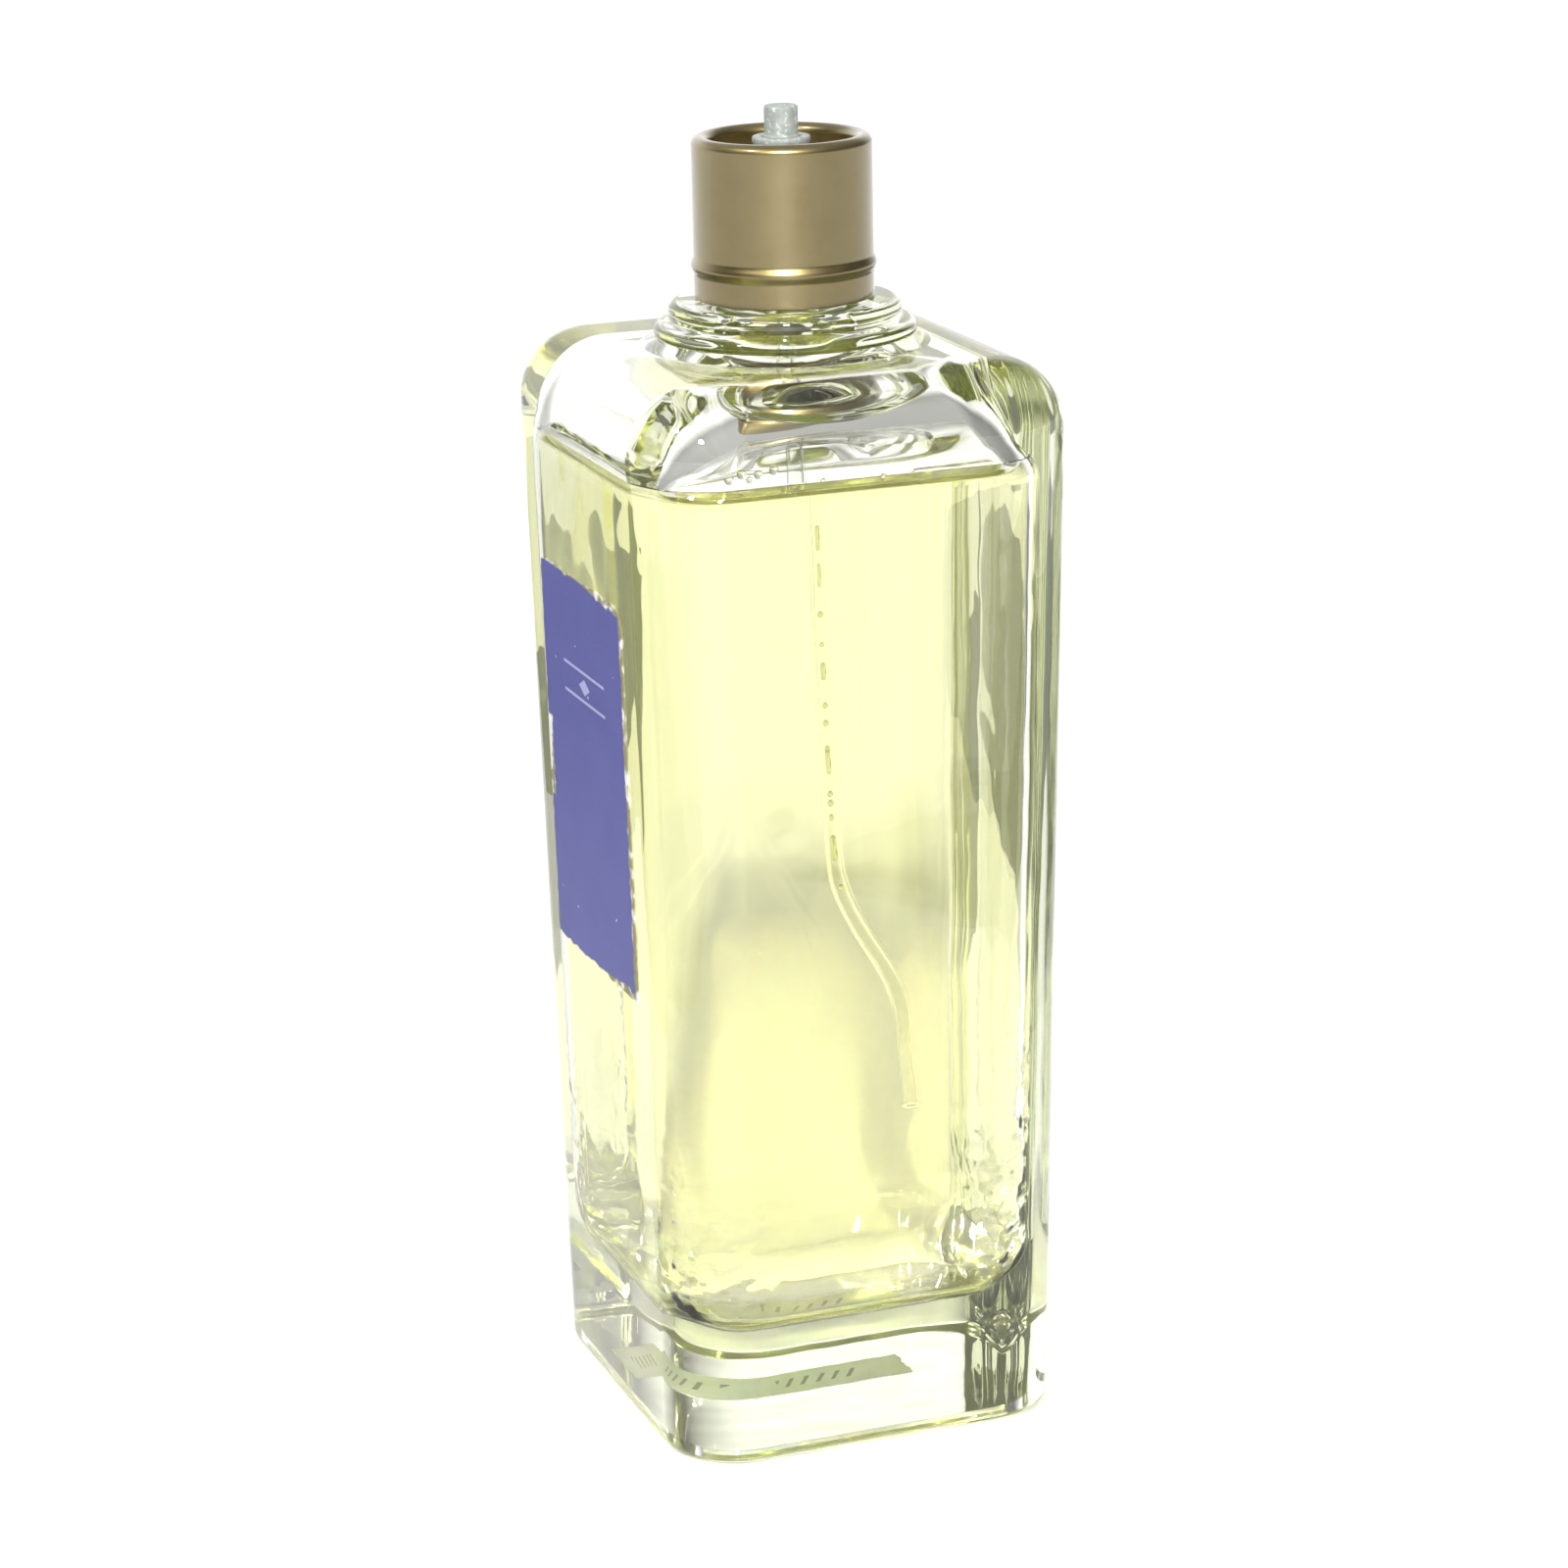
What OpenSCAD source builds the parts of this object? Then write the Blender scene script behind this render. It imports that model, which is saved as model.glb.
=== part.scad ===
// Square glass aftershave bottle with a crimped fine-mist pump, in millimetres.
// +Z is up, the origin is the centre of the foot, and the front label is on the -Y face.

/* [Glass body] */
// Width across X at the shoulder
body_w = 48; // [46:0.5:50]
// Depth across Y at the shoulder
body_d = 45.4; // [44:0.2:48]
// How much narrower the foot is than the shoulder, both ways
body_draft = 3.6; // [0:0.2:4]
// Height of the shoulder
body_h = 110.6; // [108:0.2:112]
// Radius of the four upright corners
corner_r = 7.8; // [7.4:0.1:9]
// Radius of the shoulder's rounding
shoulder_r = 7.2; // [6:0.1:7.2]
// Radius of the foot's edge
heel_r = 1; // [0.6:0.1:1.6]
// Thickness of the side walls
wall_t = 4.2; // [3.4:0.1:4.6]
// Thickness of the solid glass base
base_t = 12.5; // [10:0.5:14]
// Depth of the hollow under the foot
punt_depth = 0.5; // [0.3:0.1:1]

/* [Lotion] */
// Height of the liquid's surface above the foot
fill_h = 99.2; // [60:0.2:100]

/* [Label] */
// Width of the front label
label_w = 25.8; // [20:0.2:30]
// Height of the front label
label_h = 40.8; // [30:0.2:50]
// Height of the label's lower edge above the foot
label_z = 47.4; // [40:0.2:52]
// Thickness of the label papers
paper_t = 0.12; // [0.08:0.01:0.2]

/* [Collar] */
// Outer radius of the metal collar
collar_r = 9; // [8.9:0.05:9.3]
// Height of the collar's lower edge above the foot
collar_z = 115.2; // [115:0.1:115.6]
// Height of the collar
collar_h = 16.1; // [15.6:0.1:16.6]
// How far the bead stands out of the collar
bead_out = 0.28; // [0.1:0.02:0.4]

/* [Pump] */
// Radius of the stem's tip, which the spray button pushes on to
tip_r = 1.68; // [1.6:0.01:1.7]
// How far the stem goes down, until its spray button meets the turret
stroke = 2.6; // [1.5:0.1:2.6]
// Radius of the pump chamber's bore
chamber_r = 2.45; // [2.45:0.01:2.5]
// Outer radius of the dip tube
tube_r = 0.95; // [0.9:0.01:1]

/* [Hidden] */

fn_round = 64;          // facets round the turned parts
fn_soft = 32;           // facets round the blended glass corners
fit_gap = 0.05;         // clearance round assembled pieces
run_gap = 0.02;         // radial clearance of sliding pieces

// Glass neck, from the crown of the shoulder up to the mouth
crown_z = 111.6;
crown_r = 13.4;
ring_low_r = 13.15;     // lower neck ring
ring_low_z = 113;       // its top
ring_high_r = 11.7;     // upper neck ring
ring_high_z = 115;      // its top
ring_edge_r = 1.1;      // rounding of both rings
neck_r = 6.55;
neck_bead_r = 7.5;
neck_bead_z = 119.9;    // underside of the crimp bead, at the neck
mouth_z = 124;
mouth_bore_r = 4.7;

// Glass cavity
cavity_corner_r = 5;
cavity_floor_r = 5;
cavity_roof_z = 105.4;
cavity_crown_z = 107;
cavity_crown_r = 6.4;
punt_margin = 4.2;      // from the foot's side to the hollow under it

// Pump stack, from the gasket up to the turret
gasket_top_z = 125;
gasket_r = 7.2;
flange_top_z = 125.7;   // pump housing's flange
turret_flange_z = 126.6;
cup_t = 0.3;            // sheet of the crimp cup
cup_r = 7.85;
flange_r = 6.6;
turret_r = 2.75;
turret_foot_r = 3.35;
turret_top_z = 131.1;
turret_lip_r = 2.9;
seal_r = 2.9;
seal_top_z = 126.3;

// Pump chamber, from the dip tube's socket up
housing_r = 3.2;
housing_tail_r = 2;
socket_z = 111;         // lower end of the housing
socket_top_z = 113;
inlet_r = 0.5;
inlet_z = 113.2;        // lower end of the ball's cone
ball_r = 0.75;
ball_bore_r = 0.9;
chamber_z = 115.2;      // floor of the chamber
seat_t = 0.5;           // spring seat on that floor
funnel_top_z = 113.5;
vent_r = 0.3;
vent_z = 122.9;

// Stem and piston
stem_r = tip_r + 0.17;  // below the tip
tip_gap = 0.2;          // from the turret to the tip, and from the tip's socket to the button's end
tip_z = turret_top_z + tip_gap;
stem_top_z = tip_z + stroke + tip_gap;
stem_z = 121;           // lower end of the stem
stem_bore_r = 0.6;
valve_bore_r = 0.5;
valve_bore_top_z = 122.6;
stem_flange_r = 2.3;
stem_flange_z = 124.9;
stem_flange_top_z = 125.67;
piston_z = 121.2;
piston_waist_r = 2.1;

// Poppet
pin_gap = 0.03;         // between the poppet's disc and the stem
pin_needle_r = 0.46;
pin_needle_top_z = 122.2;
pin_disc_r = 1.15;
pin_disc_z = 120.4;
pin_guide_r = 0.6;
pin_guide_z = 118.9;

// Springs: radius of the coil, radius of the wire
return_spring_size = [2.08, 0.15];
valve_spring_size = [0.88, 0.12];
spring_turns = 6;

// Sticker under the foot: its size, and its middle
sticker_size = [8.5, 20];
sticker_at = [-6, -0.7];

// Dip tube, which leans a little and makes the rest of its way aside in one bend
tube_bore_r = 0.6;
tube_end = [-1.6, 9.8, 30];
tube_lean = 0.35;       // share of the way aside that is not in the bend
tube_bend_z = [58, 40]; // where the bend starts and ends
tube_rings = 40;
tube_sides = 12;

draft_angle = atan(body_draft / 2 / body_h);

// Half of a width w at the shoulder, at height z of the tapered body
function half(w, z) = w / 2 - body_draft / 2 * (1 - z / body_h);

// Points of an arc in a turned profile
function arc(cx, cz, r, from, to, n = 6) =
    [for (i = [0:n]) let (a = from + (to - from) * i / n) [cx + r * cos(a), cz + r * sin(a)]];

function unit(v) = v / norm(v);

// Triangles that join a grid of rings of points into one closed skin
function ring_faces(rings, sides, closed) =
    [for (i = [0:rings - (closed ? 1 : 2)], j = [0:sides - 1])
        let (k = (i + 1) % rings, m = (j + 1) % sides)
        each [[i * sides + j, i * sides + m, k * sides + m], [i * sides + j, k * sides + m, k * sides + j]]];

// Ring i of a tube of radius r along a path, with its first point square to side
function ring_at(path, i, r, sides, side) =
    let (n = len(path), t = unit(path[min(i + 1, n - 1)] - path[max(i - 1, 0)]),
         s = unit(cross(t, side)), u = cross(s, t))
    [for (j = [0:sides - 1]) let (a = 360 * j / sides) path[i] + r * (s * cos(a) + u * sin(a))];

// A round wire along a list of points
module wire(path, r, sides, side) {
    n = len(path);
    caps = [[for (j = [sides - 1:-1:0]) j], [for (j = [0:sides - 1]) (n - 1) * sides + j]];
    polyhedron([for (i = [0:n - 1]) each ring_at(path, i, r, sides, side)],
        concat(ring_faces(n, sides, false), caps));
}

// A spring of round wire between two heights
module coil_spring(r, wire_r, z0, z1, turns) {
    steps = 18 * turns;
    wire([for (i = [0:steps]) let (a = 20 * i, f = i / steps)
        [r * cos(a), r * sin(a), z0 + wire_r + (z1 - z0 - 2 * wire_r) * f]], wire_r, 8, [0, 0, 1]);
}

// A disc whose two edges are rounded by e
module round_disc(r, e) {
    rotate_extrude($fn = fn_soft)
        polygon(concat([[0, -e]], arc(r - e, 0, e, -90, 90, 8), [[0, e]]));
}

// A block that narrows towards the foot, with round corners, floor and roof
module tapered_block(inset, z0, z1, r, floor_r, roof_r, top_r, top_z) {
    hull() {
        for (x = [-1, 1], y = [-1, 1]) {
            translate([x * (half(body_w, z0 + floor_r) - inset - r),
                       y * (half(body_d, z0 + floor_r) - inset - r), z0 + floor_r])
                round_disc(r, floor_r);
            translate([x * (half(body_w, z1 - roof_r) - inset - r),
                       y * (half(body_d, z1 - roof_r) - inset - r), z1 - roof_r])
                round_disc(r, roof_r);
        }
        if (top_z > z1)
            translate([0, 0, z1 - 1]) cylinder(r = top_r, h = top_z - z1 + 1, $fn = fn_soft);
    }
}

// The hollow inside the glass, drawn smaller by gap
module cavity(gap) {
    tapered_block(wall_t + gap, base_t + gap, cavity_roof_z - gap, cavity_corner_r - gap,
        cavity_floor_r - gap, cavity_floor_r - gap, cavity_crown_r, cavity_crown_z - gap);
}

// Rises smoothly from 0 to 1 as t does
function smooth_step(t) = let (u = min(1, max(0, t))) u * u * (3 - 2 * u);

// Point of the dip tube's centre line, from 0 in the housing to 1 at the tip
function tube_at(f) =
    let (z = socket_top_z + (tube_end[2] - socket_top_z) * f,
         bend = smooth_step((tube_bend_z[0] - z) / (tube_bend_z[0] - tube_bend_z[1])),
         aside = tube_lean * f * f + (1 - tube_lean) * bend)
    [tube_end[0] * aside, tube_end[1] * aside, z];

tube_path = [for (i = [0:tube_rings]) tube_at(i / tube_rings)];

module glass_bottle() color([0.9, 0.95, 0.9, 0.35]) difference() {
    union() {
        tapered_block(0, 0, body_h, corner_r, heel_r, shoulder_r, crown_r, crown_z);
        rotate_extrude($fn = fn_round) polygon(concat(
            [[0, body_h - 1], [ring_low_r - 0.6, body_h - 1]],
            arc(ring_low_r - ring_edge_r, ring_low_z - ring_edge_r, ring_edge_r, -60, 90),
            arc(ring_high_r - ring_edge_r, ring_high_z - ring_edge_r, ring_edge_r, -20, 90),
            [[neck_r, ring_high_z], [neck_r, neck_bead_z], [neck_bead_r, neck_bead_z + 1]],
            arc(neck_bead_r - 0.6, mouth_z - 0.6, 0.6, 0, 90, 4),
            [[0, mouth_z]]));
    }
    cavity(0);
    translate([0, 0, cavity_roof_z - 2])
        cylinder(r = mouth_bore_r, h = mouth_z - cavity_roof_z + 3, $fn = fn_round);
    translate([0, 0, -1]) linear_extrude(1 + punt_depth) square(
        [2 * half(body_w, 0) - 2 * punt_margin, 2 * half(body_d, 0) - 2 * punt_margin], center = true);
}

module lotion() color([0.93, 0.93, 0.62, 0.6]) difference() {
    cavity(fit_gap);
    translate([-body_w, -body_w, fill_h]) cube([2 * body_w, 2 * body_w, body_h]);
    wire(tube_path, tube_r + fit_gap, tube_sides, [0, 1, 0]);
}

// Worn paper label: its corners are rubbed round and its -X edge is torn
module front_label() color([0.25, 0.25, 0.58]) {
    z = label_z + label_h / 2;
    translate([0, -half(body_d, z), z]) rotate([90 + draft_angle, 0, 0])
        linear_extrude(paper_t) difference() {
            square([label_w, label_h], center = true);
            translate([label_w / 2, label_h / 2]) rotate(52) square([3.2, 2.4], center = true);
            translate([-label_w / 2, -0.5]) rotate(8) square([2.2, 8.4], center = true);
            translate([-label_w / 2, 2.6]) rotate(-30) square([3.4, 1.6], center = true);
        }
}

module base_label() color([0.75, 0.76, 0.74])
    translate([sticker_at[0], sticker_at[1], punt_depth - paper_t])
        linear_extrude(paper_t) square(sticker_size, center = true);

// Thin sheet turned over at the top into a rolled rim, with a bead low on its wall
module collar() color([0.72, 0.6, 0.36]) {
    sheet = 0.4;
    roll_r = 0.9;
    bead_half = 0.85;
    bead_z = collar_z + 3.3;
    bead_arc_r = (bead_half * bead_half + bead_out * bead_out) / (2 * bead_out);
    bead_angle = asin(bead_half / bead_arc_r);
    roll_z = collar_z + collar_h - roll_r;
    rotate_extrude($fn = fn_round) polygon(concat(
        [[collar_r - sheet, collar_z], [collar_r - 0.15, collar_z], [collar_r, collar_z + 0.3]],
        arc(collar_r + bead_out - bead_arc_r, bead_z, bead_arc_r, -bead_angle, bead_angle, 8),
        arc(collar_r - roll_r, roll_z, roll_r, 0, 180, 12),
        [[collar_r - 2 * roll_r, roll_z - 1.2], [collar_r - 2 * roll_r + sheet, roll_z - 1.2]],
        arc(collar_r - roll_r, roll_z, roll_r - sheet, 180, 0, 8)));
}

// Plastic ring that grips the crimp cup and carries the collar, with a lip over the cup
module collar_liner() color([0.86, 0.86, 0.84]) {
    lip_z = turret_flange_z + cup_t + fit_gap;
    rotate_extrude($fn = fn_round) polygon([
        [cup_r + fit_gap, collar_z + 1], [collar_r - 0.4, collar_z + 1], [collar_r - 0.4, lip_z + 0.8],
        [cup_r - 0.5, lip_z + 0.8], [cup_r - 0.5, lip_z], [cup_r + fit_gap, lip_z]]);
}

// Aluminium cup crimped under the glass bead
module crimp_cup() color([0.8, 0.8, 0.8]) {
    top = turret_flange_z + cup_t;
    rotate_extrude($fn = fn_round) polygon([
        [turret_foot_r + fit_gap, turret_flange_z], [cup_r - cup_t, turret_flange_z],
        [cup_r - cup_t, neck_bead_z + 0.96], [neck_r + 0.2, neck_bead_z + 0.12],
        [neck_r + 0.45, neck_bead_z - 0.08], [cup_r, neck_bead_z + 0.82],
        [cup_r, top - 0.3], [cup_r - 0.3, top], [turret_foot_r + fit_gap, top]]);
}

module neck_gasket() color([0.25, 0.25, 0.25]) rotate_extrude($fn = fn_round)
    polygon([[housing_r + fit_gap, mouth_z], [gasket_r, mouth_z], [gasket_r, gasket_top_z],
        [housing_r + fit_gap, gasket_top_z]]);

// Translucent flange and tower that the stem slides in
module turret() color([0.82, 0.85, 0.82]) rotate_extrude($fn = fn_round) polygon([
    [seal_r, flange_top_z], [flange_r, flange_top_z], [flange_r, turret_flange_z],
    [turret_foot_r, turret_flange_z], [turret_foot_r, turret_flange_z + 0.7],
    [turret_r, turret_flange_z + 1.3], [turret_r, turret_top_z - 0.7], [turret_lip_r, turret_top_z - 0.5],
    [turret_lip_r, turret_top_z - 0.15], [turret_lip_r - 0.15, turret_top_z],
    [stem_r + run_gap + 0.2, turret_top_z], [stem_r + 2 * run_gap, turret_top_z - 0.2],
    [stem_r + 2 * run_gap, seal_top_z], [seal_r, seal_top_z]]);

module stem_seal() color([0.15, 0.15, 0.15]) rotate_extrude($fn = fn_round)
    polygon([[stem_r + run_gap, flange_top_z], [seal_r, flange_top_z], [seal_r, seal_top_z],
        [stem_r + run_gap, seal_top_z]]);

module pump_housing() color([0.5, 0.5, 0.48]) difference() {
    rotate_extrude($fn = fn_round) polygon([
        [tube_r, socket_z], [housing_tail_r, socket_z], [housing_r, funnel_top_z],
        [housing_r, gasket_top_z], [flange_r, gasket_top_z], [flange_r, flange_top_z],
        [chamber_r, flange_top_z], [chamber_r, chamber_z], [ball_bore_r, chamber_z],
        [ball_bore_r, inlet_z + ball_bore_r - inlet_r], [inlet_r, inlet_z], [inlet_r, socket_top_z],
        [tube_r, socket_top_z]]);
    translate([0, 0, vent_z]) rotate([90, 0, 0]) cylinder(r = vent_r, h = 2 * housing_r, $fn = 24);
}

module spring_seat() color([0.88, 0.88, 0.86]) translate([0, 0, chamber_z]) difference() {
    cylinder(r = chamber_r, h = seat_t, $fn = fn_round);
    translate([0, 0, -1]) cylinder(r = inlet_r, h = seat_t + 2, $fn = 24);
}

module inlet_ball() color([0.7, 0.7, 0.72])
    translate([0, 0, inlet_z - inlet_r + ball_r * sqrt(2) + run_gap]) sphere(r = ball_r, $fn = 24);

module dip_tube() color([0.93, 0.94, 0.92]) {
    outer = [for (i = [0:tube_rings]) each ring_at(tube_path, i, tube_r, tube_sides, [0, 1, 0])];
    inner = [for (i = [tube_rings:-1:0]) each ring_at(tube_path, i, tube_bore_r, tube_sides, [0, 1, 0])];
    polyhedron(concat(outer, inner), ring_faces(2 * (tube_rings + 1), tube_sides, true));
}

module stem() color([0.82, 0.85, 0.82]) rotate_extrude($fn = fn_round) polygon([
    [valve_bore_r, stem_z], [stem_r, stem_z], [stem_r, stem_flange_z],
    [stem_flange_r, stem_flange_z], [stem_flange_r, stem_flange_top_z], [stem_r, stem_flange_top_z],
    [stem_r, tip_z], [tip_r, tip_z], [tip_r, stem_top_z - 0.12], [tip_r - 0.12, stem_top_z],
    [stem_bore_r, stem_top_z],
    [stem_bore_r, valve_bore_top_z + 0.3], [valve_bore_r, valve_bore_top_z]]);

// Two thin lips wipe the chamber, above and below the waist
module piston() color([0.9, 0.9, 0.88]) rotate_extrude($fn = fn_round) polygon([
    [stem_r, piston_z], [chamber_r - run_gap, piston_z], [chamber_r - run_gap, piston_z + 0.45],
    [piston_waist_r, piston_z + 0.9], [piston_waist_r, stem_flange_z - 0.9],
    [chamber_r - run_gap, stem_flange_z - 0.45], [chamber_r - run_gap, stem_flange_z],
    [stem_r, stem_flange_z]]);

module valve_pin() color([0.9, 0.9, 0.88]) rotate_extrude($fn = 32) polygon([
    [0, pin_guide_z], [pin_guide_r, pin_guide_z], [pin_guide_r, pin_disc_z], [pin_disc_r, pin_disc_z],
    [pin_disc_r, stem_z - pin_gap], [pin_needle_r, stem_z - pin_gap],
    [pin_needle_r, pin_needle_top_z - 0.3], [0.2, pin_needle_top_z], [0, pin_needle_top_z]]);

module valve_spring() color([0.7, 0.7, 0.72])
    coil_spring(valve_spring_size[0], valve_spring_size[1], chamber_z + seat_t, pin_disc_z, spring_turns);

module return_spring() color([0.7, 0.7, 0.72])
    coil_spring(return_spring_size[0], return_spring_size[1], chamber_z + seat_t, piston_z, spring_turns);

glass_bottle();
lotion();
front_label();
base_label();
collar();
collar_liner();
crimp_cup();
neck_gasket();
turret();
stem_seal();
pump_housing();
spring_seat();
inlet_ball();
dip_tube();
stem();
piston();
valve_pin();
valve_spring();
return_spring();
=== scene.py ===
"""Square glass aftershave bottle with a crimped mist pump and no cap, built round its measured frame."""

import math
import random

import bmesh
import bpy
from mathutils import Matrix, Vector, noise


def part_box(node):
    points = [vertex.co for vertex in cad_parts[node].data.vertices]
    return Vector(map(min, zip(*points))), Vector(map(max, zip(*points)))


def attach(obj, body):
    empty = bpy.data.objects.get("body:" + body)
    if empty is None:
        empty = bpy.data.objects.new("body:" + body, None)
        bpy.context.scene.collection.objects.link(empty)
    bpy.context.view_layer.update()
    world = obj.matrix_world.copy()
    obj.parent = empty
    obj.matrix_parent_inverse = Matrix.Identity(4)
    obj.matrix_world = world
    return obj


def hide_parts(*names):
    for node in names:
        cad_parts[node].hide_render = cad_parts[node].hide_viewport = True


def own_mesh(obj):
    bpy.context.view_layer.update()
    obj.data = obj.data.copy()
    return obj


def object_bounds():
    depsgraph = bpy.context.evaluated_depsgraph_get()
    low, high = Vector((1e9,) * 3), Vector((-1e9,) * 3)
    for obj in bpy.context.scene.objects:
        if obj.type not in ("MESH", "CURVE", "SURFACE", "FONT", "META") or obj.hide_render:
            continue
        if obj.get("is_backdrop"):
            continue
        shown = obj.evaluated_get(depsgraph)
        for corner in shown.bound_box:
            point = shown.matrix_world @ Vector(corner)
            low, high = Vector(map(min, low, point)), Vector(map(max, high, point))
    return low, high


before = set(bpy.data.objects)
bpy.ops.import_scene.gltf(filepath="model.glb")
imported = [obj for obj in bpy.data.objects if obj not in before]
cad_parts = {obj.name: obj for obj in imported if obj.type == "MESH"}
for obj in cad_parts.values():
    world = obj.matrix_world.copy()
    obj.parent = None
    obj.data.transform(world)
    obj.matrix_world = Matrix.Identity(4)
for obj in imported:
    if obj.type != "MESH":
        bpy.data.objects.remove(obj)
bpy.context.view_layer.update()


# ---- Glass bottle ----
# Heavy clear soda-lime glass, blown in a two-part mould: a square body that narrows a little to the foot,
# a thick solid base, two rings under the neck, and a bead round the mouth that the pump is crimped on to.

MM = 0.001
body_w = 48.0 * MM
body_d = 45.4 * MM
body_draft = 3.6 * MM
body_h = 110.6 * MM
corner_r = 7.8 * MM
shoulder_r = 7.2 * MM
heel_r = 1.0 * MM
wall_t = 4.2 * MM
base_t = 12.5 * MM
cavity_r = 5.0 * MM
dome_r = 7.0 * MM
dome_z = 98.4 * MM
dome_arc = 78
roof_half = 7.3 * MM
roof_rise = 1.45 * MM
punt_margin = 4.2 * MM
punt_depth = 0.5 * MM
ROUND_SIDES = 96


def only(piece):
    """Leaves this piece alone selected and active, in object mode."""
    if bpy.context.mode != "OBJECT":
        bpy.ops.object.mode_set(mode="OBJECT")
    bpy.ops.object.select_all(action="DESELECT")
    piece.hide_viewport = False
    piece.select_set(True)
    bpy.context.view_layer.objects.active = piece


def started(name):
    """Names the primitive that was just added, and puts its place into its mesh."""
    piece = bpy.context.object
    piece.name = name
    piece.data.name = name
    only(piece)
    bpy.ops.object.transform_apply(location=True, rotation=True, scale=True)
    return piece


def pick(piece, kind, rule):
    """In edit mode, selects only the verts, edges or faces for which rule says yes."""
    modes = {"verts": "VERT", "edges": "EDGE", "faces": "FACE"}
    bpy.ops.mesh.select_mode(type=modes[kind])
    bpy.ops.mesh.select_all(action="DESELECT")
    work = bmesh.from_edit_mesh(piece.data)
    for part in getattr(work, kind):
        if rule(part):
            part.select_set(True)
    work.select_flush_mode()
    bmesh.update_edit_mesh(piece.data)


def middle(edge):
    """Middle point of an edge."""
    return (edge.verts[0].co + edge.verts[1].co) / 2


def is_upright(edge):
    """Whether an edge runs mostly up the piece."""
    along = (edge.verts[1].co - edge.verts[0].co).normalized()
    return abs(along.z) > 0.7


def tapered_block(name, inset, z0, z1):
    """A block between two heights that keeps this distance inside the body's four drafted sides."""
    bpy.ops.object.select_all(action="DESELECT")
    bpy.ops.mesh.primitive_cube_add(size=1, location=(0, 0, 0.5))
    block = started(name)
    bpy.ops.object.mode_set(mode="EDIT")
    for top, z in ((False, z0), (True, z1)):
        pick(block, "verts", lambda v: (v.co.z > 0.5) == top)
        shrink = body_draft * (1 - z / body_h)
        size = (body_w - shrink - 2 * inset, body_d - shrink - 2 * inset, 1)
        bpy.ops.transform.resize(value=size)
        bpy.ops.transform.translate(value=(0, 0, z - (1 if top else 0)))
    return block


def arc(cx, cz, r, start, end, steps=6):
    """Points of an arc in a turned profile, with its angles in degrees."""
    turn = [math.radians(start + (end - start) * i / steps) for i in range(steps + 1)]
    return [(cx + r * math.cos(a), cz + r * math.sin(a)) for a in turn]


def turned(name, profile, ring=False, sides=ROUND_SIDES):
    """A piece turned on Z from (radius, height) points in mm. A ring's last point joins its first."""
    bpy.ops.object.select_all(action="DESELECT")
    r, z = profile[0]
    fill = "NOTHING" if ring else "NGON"
    bpy.ops.mesh.primitive_circle_add(vertices=sides, radius=r * MM, location=(0, 0, z * MM), fill_type=fill)
    piece = started(name)
    bpy.ops.object.mode_set(mode="EDIT")
    bpy.ops.mesh.select_mode(type="EDGE" if ring else "FACE")
    bpy.ops.mesh.select_all(action="SELECT")
    for next_r, next_z in profile[1:]:
        bpy.ops.mesh.extrude_region_move(TRANSFORM_OT_translate={"value": (0, 0, (next_z - z) * MM)})
        bpy.ops.transform.resize(value=(next_r / r, next_r / r, 1))
        r, z = next_r, next_z
    if ring:
        bpy.ops.mesh.select_all(action="DESELECT")
        bpy.ops.mesh.select_non_manifold()
        bpy.ops.mesh.bridge_edge_loops()
    bpy.ops.mesh.select_all(action="SELECT")
    bpy.ops.mesh.normals_make_consistent(inside=False)
    bpy.ops.object.mode_set(mode="OBJECT")
    return piece


def smoothed(piece, angle=35):
    """Smooth shading that keeps the edges sharper than this angle in degrees, and keeps flat sides flat."""
    only(piece)
    bpy.ops.object.shade_smooth_by_angle(angle=math.radians(angle))
    piece.modifiers.new("even sides", "WEIGHTED_NORMAL").keep_sharp = True
    bpy.ops.object.modifier_apply(modifier="even sides")
    return piece


def joined(piece, tool, operation):
    """Adds or takes away another closed piece, which is used up."""
    only(piece)
    step = piece.modifiers.new("join", "BOOLEAN")
    step.operation = operation
    step.solver = "EXACT"
    step.object = tool
    bpy.ops.object.modifier_apply(modifier="join")
    bpy.data.objects.remove(tool)


glass = tapered_block("bottle_glass", 0, 0, body_h)
pick(glass, "edges", is_upright)
bpy.ops.mesh.bevel(offset=corner_r, segments=16, profile=0.5, clamp_overlap=True)
pick(glass, "edges", lambda e: middle(e).z > body_h - 1e-5)
bpy.ops.mesh.bevel(offset=shoulder_r, segments=14, profile=0.5, clamp_overlap=True)
pick(glass, "edges", lambda e: middle(e).z < 1e-5)
bpy.ops.mesh.bevel(offset=heel_r, segments=5, profile=0.5, clamp_overlap=True)
bpy.ops.object.mode_set(mode="OBJECT")

neck = turned("neck", [
    (14.9, 109.5), (14.9, 110.55), (14.4, 110.68), (13.9, 111.0), (13.2, 111.35), (12.95, 111.5),
    *arc(12.05, 111.9, 1.1, -15, 84, 9), (11.75, 113.1), (11.55, 113.25), (11.5, 113.5),
    *arc(10.6, 113.9, 1.1, -12, 90, 8), (8.2, 115.05), (7.2, 115.3), (6.7, 115.8), (6.55, 116.6),
    (6.55, 119.6), (6.7, 119.95), (7.2, 120.5), (7.45, 120.85), (7.5, 121.2),
    *arc(6.9, 123.4, 0.6, 0, 90, 6)])
joined(glass, neck, "UNION")

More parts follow.
